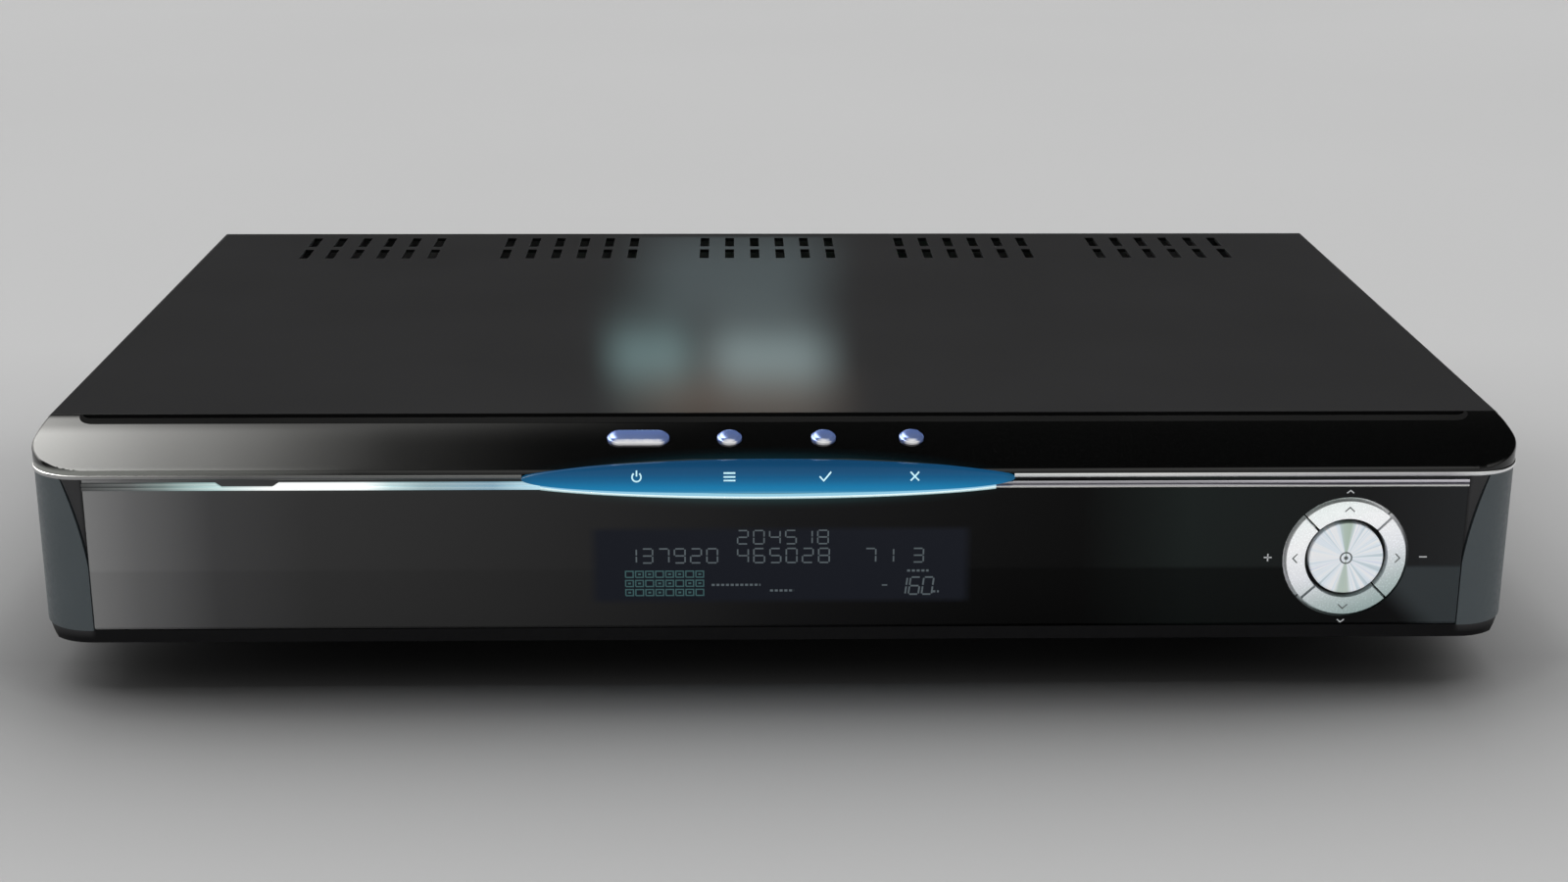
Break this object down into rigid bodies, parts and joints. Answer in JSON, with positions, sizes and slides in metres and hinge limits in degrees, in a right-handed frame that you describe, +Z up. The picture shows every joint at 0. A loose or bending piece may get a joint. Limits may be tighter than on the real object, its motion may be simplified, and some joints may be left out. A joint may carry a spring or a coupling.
{
  "type": "satellite tv receiver",
  "caption": "Low flat set-top receiver with a crowned gloss lip, a long oval lit lens, push keys, a four-way key pad and rear sockets.",
  "frame": {"origin": "centre of the footprint on the floor, midway between the lens nose and the tips of the aerial sockets", "axes": "+X to the right seen from the front, +Y to the rear, +Z up"},
  "size_m": [0.3632, 0.247, 0.062],
  "materials": {
    "cover_paint": "satin dark grey paint",
    "plated_steel": "plain zinc-plated sheet",
    "dark_plastic": "fine matt",
    "gloss_black": "piano gloss",
    "grey_plastic": "satin slate grey",
    "bright_trim": "bright",
    "lens_blue": "clear tinted, lit from behind",
    "key_silver": "metallised",
    "ring_silver": "metallised",
    "spun_metal": "spun",
    "board_green": "solder mask",
    "board_brown": "bare laminate",
    "black_plastic": "fine matt",
    "screw_steel": "plated",
    "lamp_clear": "clear",
    "tube_glass": "clear",
    "ribbon_grey": "smooth",
    "bare_aluminium": "milled",
    "tin_can": "tinned",
    "nickel": "nickel plate",
    "ferrite": "ground",
    "sleeve_dark": "shrink sleeve",
    "brass_pin": "plain",
    "rubber_pad": "matt"
  },
  "bodies": {
    "case": {"top_cover": "cover_paint", "base_tray": "plated_steel", "rear_panel": "plated_steel", "front_frame": "dark_plastic", "top_lip": "gloss_black", "lip_trim": "bright_trim", "fascia_window": "gloss_black", "lens": "lens_blue", "lens_trim": "bright_trim", "trim_strip_left": "bright_trim", "trim_strip_right": "bright_trim", "corner_right": "grey_plastic", "corner_left": "grey_plastic", "key_board": "board_green", "key_switches": "black_plastic", "key_board_screws": "screw_steel", "lens_leds": "lamp_clear", "display_module": "tube_glass", "display_holder": "black_plastic", "front_board": "board_green", "front_board_screws": "screw_steel", "nav_switches": "black_plastic", "ir_receiver": "black_plastic", "ribbon_cable": "ribbon_grey", "cover_screws": "screw_steel", "rear_screws": "screw_steel", "main_board": "board_green", "power_board": "board_brown", "board_standoffs": "screw_steel", "board_screws": "screw_steel", "processor_heatsink": "bare_aluminium", "tuner_left": "tin_can", "tuner_right": "tin_can", "f_connectors": "nickel", "phono_sockets": "black_plastic", "hdmi_socket": "tin_can", "usb_socket": "tin_can", "network_socket": "black_plastic", "optical_socket": "black_plastic", "serial_socket": "nickel", "power_transformer": "ferrite", "power_capacitors": "sleeve_dark", "power_heatsink": "bare_aluminium", "mains_inlet": "black_plastic", "inlet_pins": "brass_pin", "inlet_screws": "screw_steel", "switch_housing": "black_plastic", "feet": "dark_plastic", "foot_pads": "rubber_pad"},
    "power_key": {"power_key": "key_silver"},
    "menu_key": {"menu_key": "key_silver"},
    "select_key": {"select_key": "key_silver"},
    "exit_key": {"exit_key": "key_silver"},
    "nav_right": {"nav_right": "ring_silver"},
    "nav_up": {"nav_up": "ring_silver"},
    "nav_left": {"nav_left": "ring_silver"},
    "nav_down": {"nav_down": "ring_silver"},
    "nav_centre": {"nav_centre": "spun_metal"},
    "mains_rocker": {"mains_rocker": "black_plastic"}
  },
  "joints": [
    {"name": "power_key_press", "type": "slide", "parent": "case", "child": "power_key", "axis": [0, 0.24, -0.9708], "range_m": [0, 0.0008], "stiffness_N_per_m": 400},
    {"name": "menu_key_press", "type": "slide", "parent": "case", "child": "menu_key", "axis": [0, 0.24, -0.9708], "range_m": [0, 0.0008], "stiffness_N_per_m": 400},
    {"name": "select_key_press", "type": "slide", "parent": "case", "child": "select_key", "axis": [0, 0.24, -0.9708], "range_m": [0, 0.0008], "stiffness_N_per_m": 400},
    {"name": "exit_key_press", "type": "slide", "parent": "case", "child": "exit_key", "axis": [0, 0.24, -0.9708], "range_m": [0, 0.0008], "stiffness_N_per_m": 400},
    {"name": "nav_right_press", "type": "slide", "parent": "case", "child": "nav_right", "axis": [0, 1, 0], "range_m": [0, 0.0008], "stiffness_N_per_m": 400},
    {"name": "nav_up_press", "type": "slide", "parent": "case", "child": "nav_up", "axis": [0, 1, 0], "range_m": [0, 0.0008], "stiffness_N_per_m": 400},
    {"name": "nav_left_press", "type": "slide", "parent": "case", "child": "nav_left", "axis": [0, 1, 0], "range_m": [0, 0.0008], "stiffness_N_per_m": 400},
    {"name": "nav_down_press", "type": "slide", "parent": "case", "child": "nav_down", "axis": [0, 1, 0], "range_m": [0, 0.0008], "stiffness_N_per_m": 400},
    {"name": "nav_centre_press", "type": "slide", "parent": "case", "child": "nav_centre", "axis": [0, 1, 0], "range_m": [0, 0.0008], "stiffness_N_per_m": 400},
    {"name": "mains_rocker_tilt", "type": "hinge", "parent": "case", "child": "mains_rocker", "pos_m": [0.111, 0.1085, 0.036], "axis": [1, 0, 0], "range_deg": [0, 18]}
  ]
}
